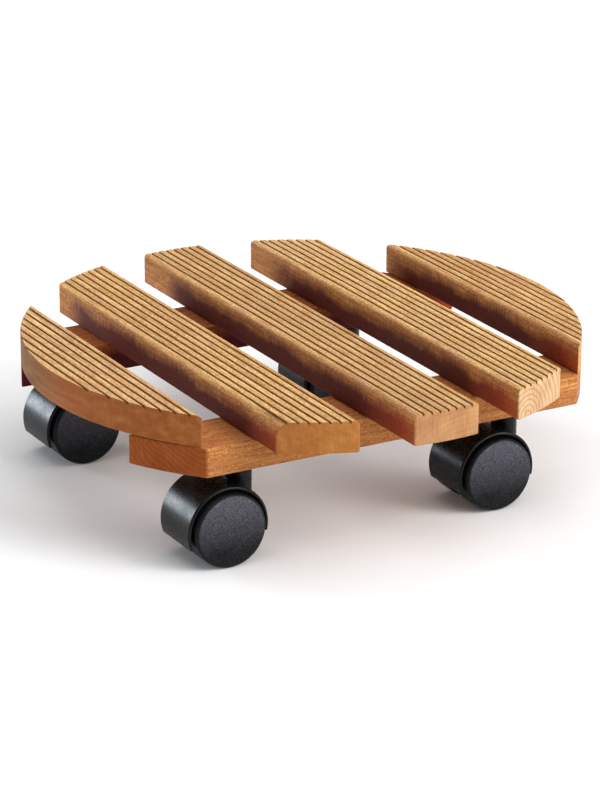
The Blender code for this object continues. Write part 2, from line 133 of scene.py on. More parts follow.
# Casters. Their places come from the frame, and these are the finer shapes' own sizes
TRAIL = 14 * MM  # from the swivel's axis back to the axle
WHEEL_RADIUS = 20 * MM
WHEEL_INNER_FACE = 5.5 * MM
WHEEL_OUTER_FACE = 19 * MM
WHEEL_DOME = 1 * MM
WHEEL_EDGE = 2 * MM
WHEEL_EDGE_START = 80  # the angle at which the edge's arc meets the dome, in degrees
WHEEL_RIM = 2.2 * MM
WHEEL_FLOOR = 16.8 * MM
TREAD_EASE = 0.4 * MM
FACE_SHARES = (0.145, 0.25, 0.4, 0.55, 0.7, 0.85, 1.0)  # of the face's radius, from the dimple out
DIMPLE_DEPTH = 0.4 * MM
DIMPLE_FLOOR_RADIUS = 1.8 * MM
DIMPLE_FLOOR_RISE = 0.04 * MM
HUB_RADIUS = 5.5 * MM
HUB_END = 5.7 * MM
AXLE_BORE = 2.3 * MM
FENDER_RADIUS = 22.9 * MM
FENDER_WALL = 1.4 * MM
FENDER_HALF_WIDTH = 15.8 * MM
FENDER_EDGE = 1 * MM
FENDER_BELOW_AXLE = 15.5  # degrees that the fender wraps past a half circle, on each side
FENDER_TILT = 4.5  # degrees that it is turned back about the axle
WEB_HALF_WIDTH = 5 * MM
WEB_HUB_RADIUS = 6 * MM
WEB_HUB_PROUD = 0.4 * MM
BOSS_RADIUS = 6.8 * MM
BOSS_EDGE = 0.5 * MM
BOSS_TOP = 46.9 * MM
PIVOT_BORE = 3.3 * MM
PIVOT_BORE_END = 25.2 * MM

# Screws and sockets
SCREW_HEAD_RADIUS = 3.4 * MM
SCREW_HEAD_HEIGHT = 2.2 * MM
SCREW_RADIUS = 1.6 * MM
SCREW_TIP = 4 * MM
SCREW_TIP_RADIUS = 0.3 * MM
HEAD_RIM = 0.3 * MM
HOLE_CLEARANCE = 0.2 * MM
RECESS_LENGTH = 3.6 * MM
RECESS_WIDTH = 0.8 * MM
RECESS_DEPTH = 1.3 * MM
SOCKET_BORE = 4.4 * MM
SOCKET_RADIUS = 5.2 * MM
FLANGE_THICKNESS = 1 * MM
FLANGE_EDGE = 0.3 * MM

# What sets each board apart. Lengths are in millimetres, and colours in 8-bit sRGB.
#   seed: shifts the board's patterns
#   pith: the growth rings' centre, across from the board's middle and up from its top
#   ring, waver: the rings' spacing, and how far they wander
#   wave: how often they wander, per metre along the board
#   top_ring, end_ring: how dark the rings are on the tops and sides, and on the ends
#   ends: the sawn ends' colours, at the -X or -Y end and then the other
#   tone, side: what multiplies the colour of the tops and ends, and of the long sides
#   saw: how strong the saw marks on the sides are
#   painted_shade, darkening_onset: how strong the painted shade low on the sides is, and how far from the -X
#       or -Y end it starts
#   round_side: which way across the board its round side faces, or 0 where it has none
#   rubbed: how much is gone from the top corner at the +X end, on the -Y side
COMMON_LOOK = {
    "ring": 2.9,
    "waver": 8,
    "wave": 4,
    "top_ring": 0.34,
    "side": (1.0, 1.0, 1.0),
    "saw": 0.3,
    "painted_shade": 0.9,
    "darkening_onset": 27,
    "round_side": 0,
    "rubbed": 0,
}
BOARD_LOOKS = {
    "slat_left_outer": {
        "seed": 1,
        "pith": (30, -60),
        "end_ring": 0.12,
        "ends": ((112, 78, 40), (154, 88, 38)),
        "tone": (1.02, 0.98, 1.0),
        "round_side": -1,
    },
    "slat_left_inner": {
        "seed": 2,
        "pith": (-22, -60),
        "end_ring": 0.12,
        "ends": ((176, 112, 58), (162, 106, 52)),
        "tone": (1.04, 1.0, 0.92),
        "rubbed": 6,
    },
    "slat_centre": {
        "seed": 3,
        "pith": (14, -46),
        "end_ring": 0.16,
        "ends": ((204, 148, 98), (188, 148, 106)),
        "tone": (0.96, 0.92, 0.88),
    },
    "slat_right_inner": {
        "seed": 4,
        "pith": (-9, -16),
        "end_ring": 0.55,
        "ends": ((226, 188, 138), (200, 172, 136)),
        "tone": (1.10, 1.10, 1.06),
    },
    "slat_right_outer": {
        "seed": 5,
        "pith": (-30, -35),
        "end_ring": 0.3,
        "ends": ((206, 160, 108), (206, 160, 108)),
        "tone": (1.02, 0.96, 0.92),
        "round_side": 1,
        "darkening_onset": 2,
    },
    "batten_front": {
        "seed": 6,
        "pith": (24, 30),
        "end_ring": 0.5,
        "ends": ((189, 126, 65), (218, 196, 164)),
        "tone": (0.70, 0.42, 0.30),
        "waver": 16,
        "wave": 30,
        "top_ring": 0.14,
        "saw": 0.1,
        "painted_shade": 0.2,
        "darkening_onset": -40,
    },
    # The rear batten lies in the slats' shadow: its darker tone, side and -Y end colours and its full side
    # darkening are painted shade
    "batten_rear": {
        "seed": 7,
        "pith": (-20, 34),
        "end_ring": 0.4,
        "ends": ((112, 56, 48), (150, 92, 52)),
        "tone": (0.52, 0.26, 0.19),
        "waver": 12,
        "wave": 20,
        "side": (0.46, 0.26, 0.22),
        "saw": 0.1,
        "painted_shade": 1.0,
        "darkening_onset": -40,
    },
}

# Moulded plastic. grain is the texture's depth, specks how much dust clings all over, and top_light how much
# painted light brightens the upper part of the faces across X, in dust-like specks
HOOD_PLASTIC = {
    "colour": (4, 4, 5),
    "roughness": 0.29,
    "shine": 0.18,
    "grain": 0.02 * MM,
    "specks": 0.08,
    "top_light": 0.0,
}
WHEEL_PLASTIC = {
    "colour": (9, 9, 11),
    "roughness": 0.36,
    "shine": 0.13,
    "grain": 0.09 * MM,
    "specks": 0.12,
    "top_light": 0.9,
}

ALONG_X = Matrix.Rotation(math.pi / 2, 4, "Y")


def clear_scene():
    for obj in list(bpy.data.objects):
        bpy.data.objects.remove(obj, do_unlink=True)


# Materials


def linear(red, green, blue):
    """A colour given in 8-bit sRGB, as the shader wants it."""
    values = [c / 255 for c in (red, green, blue)]
    return tuple(c / 12.92 if c <= 0.04045 else ((c + 0.055) / 1.055) ** 2.4 for c in values)


class Nodes:
    """A material's node tree, with short ways to add and link nodes."""

    def __init__(self, name):
        self.material = bpy.data.materials.new(name)
        self.material.use_nodes = True
        self.tree = self.material.node_tree
        self.shader = self.tree.nodes["Principled BSDF"]

    def add(self, kind, **settings):
        node = self.tree.nodes.new("ShaderNode" + kind)
        for key, value in settings.items():
            setattr(node, key, value)
        return node

    def link(self, source, target):
        self.tree.links.new(source, target)

    def feed(self, target, value):
        """Sets an input, or links it when the value is another node's output."""
        if isinstance(value, bpy.types.NodeSocket):
            self.link(value, target)
        else:
            target.default_value = value

    def split(self, vector):
        """A vector's three components."""
        node = self.add("SeparateXYZ")
        self.link(vector, node.inputs[0])
        return node.outputs

    def math(self, operation, first, second=0.0, clamp=False):
        node = self.add("Math", operation=operation, use_clamp=clamp)
        self.feed(node.inputs[0], first)
        self.feed(node.inputs[1], second)
        return node.outputs[0]

    def noise(self, vector, scale, detail=4.0, roughness=0.55, distortion=0.0):
        node = self.add("TexNoise")
        self.feed(node.inputs["Vector"], vector)
        node.inputs["Scale"].default_value = scale
        node.inputs["Detail"].default_value = detail
        node.inputs["Roughness"].default_value = roughness
        node.inputs["Distortion"].default_value = distortion
        return node.outputs["Fac"]

    def stretch(self, vector, scale, offset=(0, 0, 0)):
        node = self.add("Mapping")
        self.feed(node.inputs["Vector"], vector)
        node.inputs["Scale"].default_value = scale
        node.inputs["Location"].default_value = offset
        return node.outputs[0]

    def ramp(self, value, *stops):
        """A colour ramp through (position, colour) stops."""
        node = self.add("ValToRGB")
        self.feed(node.inputs["Fac"], value)
        elements = node.color_ramp.elements
        while len(elements) < len(stops):
            elements.new(0.5)
        for element, (position, colour) in zip(elements, stops):
            element.position = position
            element.color = (*colour, 1.0)
        return node.outputs["Color"]

    def span(self, value, low, high, to_low=0.0, to_high=1.0):
        """Maps low..high onto to_low..to_high, with both ends held."""
        node = self.add("MapRange")
        self.feed(node.inputs["Value"], value)
        node.inputs["From Min"].default_value = low
        node.inputs["From Max"].default_value = high
        node.inputs["To Min"].default_value = to_low
        node.inputs["To Max"].default_value = to_high
        return node.outputs["Result"]

    def mix(self, share, first, second, blend="MIX"):
        node = self.add("Mix", data_type="RGBA", blend_type=blend)
        self.feed(node.inputs["Factor"], share)
        self.feed(node.inputs["A"], first if isinstance(first, bpy.types.NodeSocket) else (*first, 1.0))
        self.feed(node.inputs["B"], second if isinstance(second, bpy.types.NodeSocket) else (*second, 1.0))
        return node.outputs["Result"]

    def tint(self, colour, pattern, low, high, most, other):
        """Turns a colour towards another as a pattern goes from low to high, and no further than most."""
        return self.mix(self.span(pattern, low, high, 0.0, most), colour, other)

    def bump(self, height, distance, strength=1.0, normal=None):
        node = self.add("Bump")
        self.feed(node.inputs["Height"], height)
        node.inputs["Distance"].default_value = distance
        node.inputs["Strength"].default_value = strength
        if normal is not None:
            self.feed(node.inputs["Normal"], normal)
        return node.outputs["Normal"]


# Wood. Noise scales are per metre, and a pair is across and then along the grain
SEED_SHIFT = (1.37, 2.11, 0.73)
FIBRE_SCALE = (950.0, 60.0)
FLECK_SCALE = (1300.0, 520.0)
STREAK_SCALE = (260.0, 9.0)
GROOVE_DARK_SCALE = (420.0, 170.0)
WAVER_SCALE = 30.0
BLOTCH_SCALE = 40.0
SAW_SCALE = (1500.0, 1500.0, 110.0)
CHATTER_SCALE = 3900.0  # the planer's marks, in radians per metre
CHATTER_WOBBLE = 14.0  # in radians
PITH_SLANT = 0.018
LATE_WOOD_MIDDLE = 0.72  # shares of a ring's width
LATE_WOOD_HALF_WIDTH = 0.27
# Painted shade on the long sides: darkest low down and away from the ends, fading out towards the ends
PAINTED_SHADE_TOP = 2 * MM  # how far below a board's top its painted shade starts
PAINTED_SHADE_WANDER = 30 * MM
PAINTED_SHADE_FRONT_FADE = (-30 * MM, 18 * MM)  # distances from the +X or +Y end
PAINTED_SHADE_REAR_FADE = 24 * MM
PAINTED_END_SHADE_FADE = (4 * MM, 50 * MM)
PAINTED_SHADE_UNDERNEATH = 0.25
END_BLEND = 20 * MM
FIBRE_RELIEF = 0.18 * MM
FLECK_RELIEF = 0.14 * MM
RING_RELIEF = 0.10 * MM
WOOD_SHINE = 0.12

DARK_FIBRE = linear(168, 114, 58)
FIBRE = linear(214, 169, 108)
PALE_FIBRE = linear(244, 211, 154)
LATE_WOOD = linear(150, 94, 48)
STREAK = linear(158, 104, 58)
BLOTCH = linear(172, 112, 74)
PALE_FLECK = linear(250, 222, 168)
DARK_FLECK = linear(126, 76, 36)
CHATTER = linear(252, 224, 178)
SIDE_TONE = linear(226, 190, 158)
SAW_MARK = linear(110, 62, 36)
# Painted shade colours for the long sides, redder near the +X or +Y end
PAINTED_END_SHADE_COLOUR = linear(158, 58, 30)
PAINTED_SHADE_COLOUR = linear(80, 21, 29)
END_STREAK = linear(206, 146, 88)
END_BLOTCH = linear(146, 78, 36)
END_SAW_MARK = linear(120, 66, 30)
END_LATE_WOOD = linear(126, 72, 30)
# Dirt and painted shade in the grooves
GROOVE_DIRT_AND_SHADE = linear(66, 32, 12)


class WoodNodes(Nodes):
    """A board's node tree, with the patterns that its faces share.

    board says which way the board lies, its box, and half its length. look says what sets it apart.
    """

    def __init__(self, name, board, look):
        super().__init__(name)
        self.along, self.low, self.high, self.reach = board
        self.look = look
        self.place = self.add("TexCoord").outputs["Object"]
        self.shift = [look["seed"] * step for step in SEED_SHIFT]
        place = self.split(self.place)
        self.length, self.across, self.height = place[self.along], place[1 - self.along], place[2]
        self.normal = self.split(self.add("NewGeometry").outputs["Normal"])
        self.fibre = self.noise(self.grained(*FIBRE_SCALE), 1.0, 5.0, 0.68)
        self.fleck = self.noise(self.grained(*FLECK_SCALE), 1.0, 3.0, 0.7)
        self.streak = self.noise(self.grained(*STREAK_SCALE), 1.0, 3.0, 0.5)
        self.blotch = self.noise(self.place, BLOTCH_SCALE + look["seed"], 4.0, 0.6)
        self.saw = self.noise(self.stretch(self.place, SAW_SCALE, self.shift), 1.0, 3.0, 0.6)
        self.late = self.late_wood()

    def grained(self, across_scale, along_scale):
        scale = [across_scale] * 3
        scale[self.along] = along_scale
        return self.stretch(self.place, scale, self.shift)

    def late_wood(self):
        """How dark the growth rings are, 0 to 1: cylinders at a wavering distance from the pith."""
        waver = self.noise(self.grained(WAVER_SCALE, self.look["wave"]), 1.0, 3.0)
        waver = self.math("MULTIPLY", self.math("SUBTRACT", waver, 0.5), self.look["waver"] * MM)
        slant = self.math("MULTIPLY", self.length, PITH_SLANT)
        edges = self.low[1 - self.along], self.high[1 - self.along]
        middle = sum(edges) / 2 + self.look["pith"][0] * MM
        side = self.math("ADD", self.math("SUBTRACT", self.across, middle), slant)
        up = self.math("SUBTRACT", self.height, self.high.z + self.look["pith"][1] * MM)
        squared = self.math("ADD", self.math("MULTIPLY", side, side), self.math("MULTIPLY", up, up))
        radius = self.math("ADD", self.math("SQRT", squared), waver)
        ring = self.math("FRACT", self.math("DIVIDE", radius, self.look["ring"] * MM))
        off = self.math("ABSOLUTE", self.math("SUBTRACT", ring, LATE_WOOD_MIDDLE))
        return self.math("POWER", self.span(off, 0.0, LATE_WOOD_HALF_WIDTH, 1.0, 0.0), 1.5)

    def planed_colour(self):
        """Fibres, flecks and the planer's marks, as on the worn tops of the ridges."""
        wave = self.math("MULTIPLY", self.length, CHATTER_SCALE)
        wave = self.math("ADD", wave, self.math("MULTIPLY", self.fleck, CHATTER_WOBBLE))
        chatter = self.math("MULTIPLY", self.math("SINE", wave), self.span(self.blotch, 0.42, 0.62))
        colour = self.ramp(self.fibre, (0.30, DARK_FIBRE), (0.48, FIBRE), (0.66, PALE_FIBRE))
        colour = self.mix(self.math("MULTIPLY", self.late, self.look["top_ring"]), colour, LATE_WOOD)
        colour = self.tint(colour, self.streak, 0.42, 0.64, 0.32, STREAK)
        colour = self.tint(colour, self.blotch, 0.42, 0.68, 0.34, BLOTCH)
        colour = self.tint(colour, self.fleck, 0.54, 0.68, 0.70, PALE_FLECK)
        colour = self.tint(colour, self.fleck, 0.46, 0.32, 0.70, DARK_FLECK)
        return self.tint(colour, chatter, 0.2, 1.0, 0.38, CHATTER)

    def side_colour(self, planed):
        """The long sides, which are rougher and darker than the tops, with painted shade low on them."""
        colour = self.mix(1.0, planed, SIDE_TONE, "MULTIPLY")
        colour = self.mix(1.0, colour, self.look["side"], "MULTIPLY")
        colour = self.tint(colour, self.saw, 0.40, 0.66, self.look["saw"], SAW_MARK)
        return self.with_painted_shade(colour)

    def with_painted_shade(self, colour):
        """Adds painted shade, darkest low on the sides and away from the ends, redder near the +X or +Y end,
        and weak underneath.
        """
        depth = self.span(self.height, self.high.z - PAINTED_SHADE_TOP, self.low.z)
        wander = self.math("MULTIPLY", self.math("SUBTRACT", self.blotch, 0.5), 0.9)
        reach = self.math("ADD", self.reach, self.math("MULTIPLY", wander, PAINTED_SHADE_WANDER))
        from_front = self.math("SUBTRACT", reach, self.length)
        from_rear = self.math("ADD", reach, self.length)
        rough = self.span(self.saw, 0.35, 0.65, -0.06, 0.06)
        shade_depth = self.math("ADD", self.math("ADD", depth, wander), rough)
        darkening_onset = self.look["darkening_onset"] * MM
        held = self.math("MULTIPLY", self.span(shade_depth, 0.04, 0.46), self.span(from_front, *PAINTED_SHADE_FRONT_FADE))
        held = self.math("MULTIPLY", held, self.span(from_rear, darkening_onset, darkening_onset + PAINTED_SHADE_REAR_FADE))
        held = self.math("MULTIPLY", held, self.span(self.normal[2], -0.9, -0.4, PAINTED_SHADE_UNDERNEATH, 1.0))
        painted_shade = self.mix(self.span(from_front, *PAINTED_END_SHADE_FADE), PAINTED_END_SHADE_COLOUR, PAINTED_SHADE_COLOUR)
        return self.mix(self.math("MULTIPLY", held, self.look["painted_shade"]), colour, painted_shade)

    def end_colour(self):
        """The sawn ends, which soak up oil."""
        ends = [linear(*colour) for colour in self.look["ends"]]
        colour = self.mix(self.span(self.length, -END_BLEND, END_BLEND), *ends)
        colour = self.tint(colour, self.streak, 0.40, 0.68, 0.30, END_STREAK)
        colour = self.tint(colour, self.blotch, 0.45, 0.68, 0.42, END_BLOTCH)
        colour = self.tint(colour, self.saw, 0.40, 0.68, 0.30, END_SAW_MARK)
        colour = self.mix(self.math("MULTIPLY", self.late, self.look["end_ring"]), colour, END_LATE_WOOD)
        return self.mix(1.0, colour, self.look["tone"], "MULTIPLY")

    def facing_end(self):
        """Where a face is a sawn end, 0 to 1. An outer slat's round side is sawn the same way."""
        facing = self.span(self.math("ABSOLUTE", self.normal[self.along]), 0.30, 0.62)
        if not self.look["round_side"]:
            return facing
        outward = self.math("MULTIPLY", self.normal[1 - self.along], self.look["round_side"])
        return self.math("MAXIMUM", facing, self.span(outward, 0.25, 0.6))

    def with_groove_dirt_and_shade(self, colour):
        # Dirt and painted shade in the grooves, from the groove attribute
        groove = self.add("Attribute", attribute_name="groove").outputs["Fac"]
        uneven = self.span(self.noise(self.grained(*GROOVE_DARK_SCALE), 1.0, 2.0, 0.5), 0.38, 0.62, 0.62, 1.0)
        return self.mix(self.math("MULTIPLY", groove, uneven, clamp=True), colour, GROOVE_DIRT_AND_SHADE)


def wood_material(name, board, look):
    """Oiled softwood: planed tops, sawn sides and ends, dirt and painted shade in the grooves, and painted
    shade low on the long sides.
    """
    n = WoodNodes(name, board, look)
    planed = n.planed_colour()
    top = n.mix(1.0, planed, look["tone"], "MULTIPLY")
    colour = n.mix(n.span(n.normal[2], 0.45, 0.92), n.side_colour(planed), top)
    colour = n.mix(n.facing_end(), colour, n.end_colour())
    n.link(n.with_groove_dirt_and_shade(colour), n.shader.inputs["Base Color"])
    rough = n.math("SUBTRACT", n.span(n.fibre, 0.3, 0.7, 0.60, 0.78), n.math("MULTIPLY", n.late, 0.08))
    n.link(rough, n.shader.inputs["Roughness"])
    n.shader.inputs["Specular IOR Level"].default_value = WOOD_SHINE
    relief = n.bump(n.fibre, FIBRE_RELIEF, 0.9)
    relief = n.bump(n.fleck, FLECK_RELIEF, 0.8, relief)
    relief = n.bump(n.late, RING_RELIEF, 0.5, relief)
    n.link(relief, n.shader.inputs["Normal"])
    return n.material


# Plastic and steel
TEXTURE_SCALE = 1900.0
CLOUD_SCALE = 90.0
SWIRL_SCALE = 240.0
SPECK_SCALE = 1500.0
TARNISH_SCALE = 420.0
TURNING_SCALE = (300.0, 300.0, 9000.0)
DUST = linear(92, 92, 99)
# The painted light on the upper part of the faces across X
TOP_LIGHT_COLOUR = linear(98, 97, 108)
TOP_LIGHT_START = -11 * MM  # heights from the wheel's middle, as is the next
TOP_LIGHT_FULL = 17 * MM
DULL_ZINC = linear(150, 150, 146)
BRIGHT_ZINC = linear(196, 197, 198)


def plastic_material(name, colour, roughness, shine, grain, specks, top_light):
    """Black moulded plastic with a fine spark-eroded texture, dust specks, and painted light that brightens
    the upper part of the faces across X.
    """
    n = Nodes(name)
    coordinates = n.add("TexCoord")
    place = coordinates.outputs["Object"]
    texture = n.noise(place, TEXTURE_SCALE, 3.0, 0.7)
    cloud = n.noise(place, CLOUD_SCALE, 3.0, 0.5)
    swirl = n.noise(place, SWIRL_SCALE, 2.0, 0.5, 2.5)
    dust = n.noise(place, SPECK_SCALE, 2.0, 0.6)
    dark = linear(*colour)
    base = n.mix(n.span(cloud, 0.3, 0.7), dark, tuple(c * 1.5 for c in dark))
    base = n.tint(base, dust, 0.48, 0.70, specks, DUST)
    # Painted light: the faces across X grow lighter towards their top, in dust-like specks
    height = n.split(place)[2]
    top_lit = n.math("ADD", n.span(height, TOP_LIGHT_START, TOP_LIGHT_FULL), n.span(swirl, 0.3, 0.7, -0.10, 0.10))
    top_lit = n.math("MULTIPLY", top_lit, n.span(dust, 0.38, 0.66, 0.35 * top_light, top_light), clamp=True)
    across = n.math("ABSOLUTE", n.split(coordinates.outputs["Normal"])[0])
    top_lit = n.math("MULTIPLY", top_lit, n.span(across, 0.90, 0.985))
    n.link(n.mix(top_lit, base, TOP_LIGHT_COLOUR), n.shader.inputs["Base Color"])
    rough = n.math("ADD", n.span(cloud, 0.3, 0.7, -0.04, 0.04), n.span(swirl, 0.3, 0.7, -0.05, 0.05))
    n.link(n.math("ADD", rough, roughness), n.shader.inputs["Roughness"])
    n.shader.inputs["Specular IOR Level"].default_value = shine
    n.link(n.bump(texture, grain, 0.8), n.shader.inputs["Normal"])
    return n.material


def steel_material(name):
    """Zinc-plated steel with fine turning marks and a little dulling."""
    n = Nodes(name)
    place = n.add("TexCoord").outputs["Object"]
    cloud = n.noise(place, TARNISH_SCALE, 4.0, 0.6)
    marks = n.noise(n.stretch(place, TURNING_SCALE), 1.0, 2.0, 0.5)
    n.link(n.ramp(cloud, (0.3, DULL_ZINC), (0.7, BRIGHT_ZINC)), n.shader.inputs["Base Color"])
    n.link(n.span(cloud, 0.3, 0.7, 0.26, 0.46), n.shader.inputs["Roughness"])
    n.shader.inputs["Metallic"].default_value = 1.0
    n.link(n.bump(marks, 0.02 * MM, 0.6), n.shader.inputs["Normal"])
    return n.material


def set_material(obj, material):
    obj.data.materials.clear()
    obj.data.materials.append(material)


def finish_piece(piece, material, node, body):
    """Gives a detailed piece its material, and sets it in its CAD node's place."""
    set_material(piece, material)
    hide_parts(node)
    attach(piece, body)


# Mesh helpers


def new_object(name, mesh, smooth_angle=SMOOTH_ANGLE):
    mesh.shade_smooth()
    mesh.set_sharp_from_angle(angle=math.radians(smooth_angle))
    obj = bpy.data.objects.new(name, mesh)
    bpy.context.scene.collection.objects.link(obj)
    normals = obj.modifiers.new("normals", "WEIGHTED_NORMAL")
    normals.keep_sharp = True
    return obj


def mesh_from(bm, name):
    mesh = bpy.data.meshes.new(name)
    bm.to_mesh(mesh)
    bm.free()
    return mesh


def turned(name, profile, steps):
    """A closed solid of revolution about Z, from (radius, height) points that run down its outer side."""
    bm = bmesh.new()
    rings = []
    for radius, height in profile:
        if radius == 0:
            rings.append([bm.verts.new((0, 0, height))])
            continue
        angles = [2 * math.pi * i / steps for i in range(steps)]
        rings.append([bm.verts.new((radius * math.cos(a), radius * math.sin(a), height)) for a in angles])
    pairs = list(zip(rings, rings[1:]))
    if profile[0][0] > 0:
        pairs.append((rings[-1], rings[0]))
    for upper, lower in pairs:
        for i in range(steps):
            corners = [upper[i % len(upper)], lower[i % len(lower)]]
            corners += [lower[(i + 1) % steps]] if len(lower) > 1 else []
            corners += [upper[(i + 1) % steps]] if len(upper) > 1 else []
            bm.faces.new(corners)
    bmesh.ops.recalc_face_normals(bm, faces=bm.faces)
    return mesh_from(bm, name)


def arc(centre, radius, start, end, steps):
    """Points on an arc, both ends included. Angles are in degrees."""
    angles = [math.radians(start + (end - start) * i / steps) for i in range(steps + 1)]
    return [(centre[0] + radius * math.cos(a), centre[1] + radius * math.sin(a)) for a in angles]


def combined(mesh, *steps):
    """Applies Boolean steps, each (operation, mesh), to a mesh."""
    obj = bpy.data.objects.new("work", mesh)
    bpy.context.scene.collection.objects.link(obj)
    others = []
    for operation, other in steps:
        tool = bpy.data.objects.new("tool", other)
        bpy.context.scene.collection.objects.link(tool)
        others.append(tool)
        modifier = obj.modifiers.new(operation, "BOOLEAN")
        modifier.operation = operation
        modifier.object = tool
    bpy.context.view_layer.update()
    result = bpy.data.meshes.new_from_object(obj.evaluated_get(bpy.context.evaluated_depsgraph_get()))
    for each in [obj, *others]:
        bpy.data.objects.remove(each)
    return result


# Boards


def round_drop(distance, radius):
    """How far a rounded edge has fallen at a distance in from the edge."""
    if distance >= radius:
        return 0.0
    return radius - math.sqrt(radius**2 - (radius - max(distance, 0.0)) ** 2)


def ridge_drop(offset, pitch):
    """How far the top has fallen, and how much dirt and painted shade it holds (0 to 1), at an offset from a
    groove.
    """
    crown = RIDGE_CROWN * abs(1 - 2 * offset / pitch) ** 3
    if offset >= GROOVE_WIDTH / 2:
        return crown, SHOULDER_DIRT_AND_SHADE * max(0.0, 1 - (offset - GROOVE_WIDTH / 2) / SHOULDER)
    share = math.sqrt(1 - (2 * offset / GROOVE_WIDTH) ** 2)
    return crown + (GROOVE_DEPTH - RIDGE_CROWN) * share, share


def edge_places(edge, inward, rounding):
    """Columns close together over a rounded long edge, or towards the rim where an outer slat has none."""
    if rounding:
        angles = [math.pi / 2 * step / ROUND_STEPS for step in range(ROUND_STEPS + 1)]
        return {edge + inward * rounding * (1 - math.cos(angle)) for angle in angles}
    return {edge + inward * inset for inset in RIM_COLUMNS}


def column_places(low, high, rounds, pitch):
    """Where a board's columns of points stand across it."""
    places = edge_places(low, 1, rounds[0]) | edge_places(high, -1, rounds[1])
    if not pitch:
        return sorted(places | {low + (high - low) * share for share in PLAIN_COLUMNS})
    for number in range(1, RIDGES):
        centre = low + number * pitch
        for share in GROOVE_COLUMNS:
            places |= {centre - share * GROOVE_WIDTH / 2, centre + share * GROOVE_WIDTH / 2}
        places |= {centre - pitch / 2, centre + pitch / 2}
    kept = []
    for place in sorted(places):
        if not kept or place - kept[-1] > MIN_COLUMN_GAP:
            kept.append(place)
    kept[-1] = high
    return kept


def row_runs(half, place, radius):
    """How far along the board from its middle each row of points stands, from the end inwards."""
    steepness = radius / max(half, radius * MIN_RIM_SLOPE)
    runs = [max(half - inset * steepness, half * (1 - RIM_ROW_SHARE * i)) for i, inset in enumerate(RIM_ROWS)]
    return runs + [share * runs[-1] for share in INNER_ROWS]


def board_column(place, low, high, radius, rounds, pitch, rubbed):
    """One column of a board: its (run, height, groove dirt and painted shade) points from one end to the
    other, top and underside.
    """
    insets = [place - low[0], high[0] - place]
    straight = [inset for inset, rounding in zip(insets, rounds) if rounding]
    edge = max(round_drop(inset, rounding) for inset, rounding in zip(insets, rounds) if rounding)
    foot = max(round_drop(inset, FOOT_ROUND) for inset in straight)
    worn = max(round_drop(inset, CORNER_ROUND) for inset in straight)
    fall, groove_dark = 0.0, 0.0
    if pitch and pitch / 2 < insets[0] < high[0] - low[0] - pitch / 2:
        fall, groove_dark = ridge_drop(abs((insets[0] + pitch / 2) % pitch - pitch / 2), pitch)
    half = math.sqrt(max(radius**2 - place**2, MIN_HALF_LENGTH**2)) - worn
    tops, far_tops, bottoms = [], [], []
    for run in row_runs(half, place, radius):
        to_rim = max(radius - math.hypot(run + worn, place), 0.0)
        darkening_onset = min(to_rim / GROOVE_FADE_RIM, 1.0)
        drop = max(fall, edge, round_drop(to_rim, RIM_ROUND))
        depth = rubbed * min(1.0, max(0.0, (RUBBED_LENGTH - half + run) / RUBBED_RAMP))
        rub = max(0.0, depth * (1 - insets[0] / RUBBED_WIDTH))
        tops.append((run, high[1] - drop - rub, groove_dark * darkening_onset))
        far_tops.append((-run, high[1] - drop, groove_dark * darkening_onset))
        bottoms.append((run, low[1] + max(foot, round_drop(to_rim, RIM_ROUND)), 0.0))
    ends = [(half, high[1] - GROOVE_DEPTH - RIM_ROUND - rubbed, 0.0), (half, (low[1] + high[1]) / 2, 0.0)]
    far = [(-run, height, amount) for run, height, amount in [*ends, *bottoms]]
    return [*reversed(tops), *ends, *bottoms, *reversed(far), *far_tops]


def close_side(bm, column):
    """Closes a long side with strips that join its top row of points to its bottom row."""
    count = len(column) // 2
    for start in (0, count):
        for k in range(count // 2 - 1):
            near, far = start + k, start + count - 1 - k
            bm.faces.new((column[near], column[near + 1], column[far - 1], column[far]))


def board_mesh(name, along, low, high, radius, rounds, pitch=None, rubbed=0.0):
    """A board cut to a circle about the origin, with eased edges.

    along is the axis it lies along, and low and high are its corners, across it and in height. rounds are
    the radii of its two long top edges, and None stands for a side that the circle has cut away. rubbed is
    how much is gone from the top corner at its high end, on its low side.
    """
    bm = bmesh.new()
    groove = bm.verts.layers.float.new("groove")
    columns = []
    for place in column_places(low[0], high[0], rounds, pitch):
        column = []
        for run, height, groove_dark in board_column(place, low, high, radius, rounds, pitch, rubbed):
            vert = bm.verts.new((run, place, height) if along == 0 else (place, run, height))
            vert[groove] = groove_dark
            column.append(vert)
        columns.append(column)
    for column, beyond in zip(columns, columns[1:]):
        for i in range(len(column)):
            bm.faces.new((column[i - 1], beyond[i - 1], beyond[i], column[i]))
    for column in (columns[0], columns[-1]):
        close_side(bm, column)
    bmesh.ops.remove_doubles(bm, verts=bm.verts, dist=MERGE_DISTANCE)
    bmesh.ops.recalc_face_normals(bm, faces=bm.faces)
    return mesh_from(bm, name)


def add_slats(platform_radius):
    for slat in SLATS:
        node = "slat_" + slat
        low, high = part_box(node)
        pitch = (high.y - low.y) / RIDGES
        rounds = [SLAT_ROUND if abs(edge) < platform_radius - MM else None for edge in (low.y, high.y)]
        look = COMMON_LOOK | BOARD_LOOKS[node]
        ends = (low.y, low.z), (high.y, high.z)
        mesh = board_mesh(node, 0, *ends, platform_radius, rounds, pitch, look["rubbed"] * MM)
        material = wood_material(node + "_wood", (0, low, high, high.x), look)
        piece = new_object(node + "_grooved", mesh, BOARD_SMOOTH_ANGLE)
        finish_piece(piece, material, node, "platform")


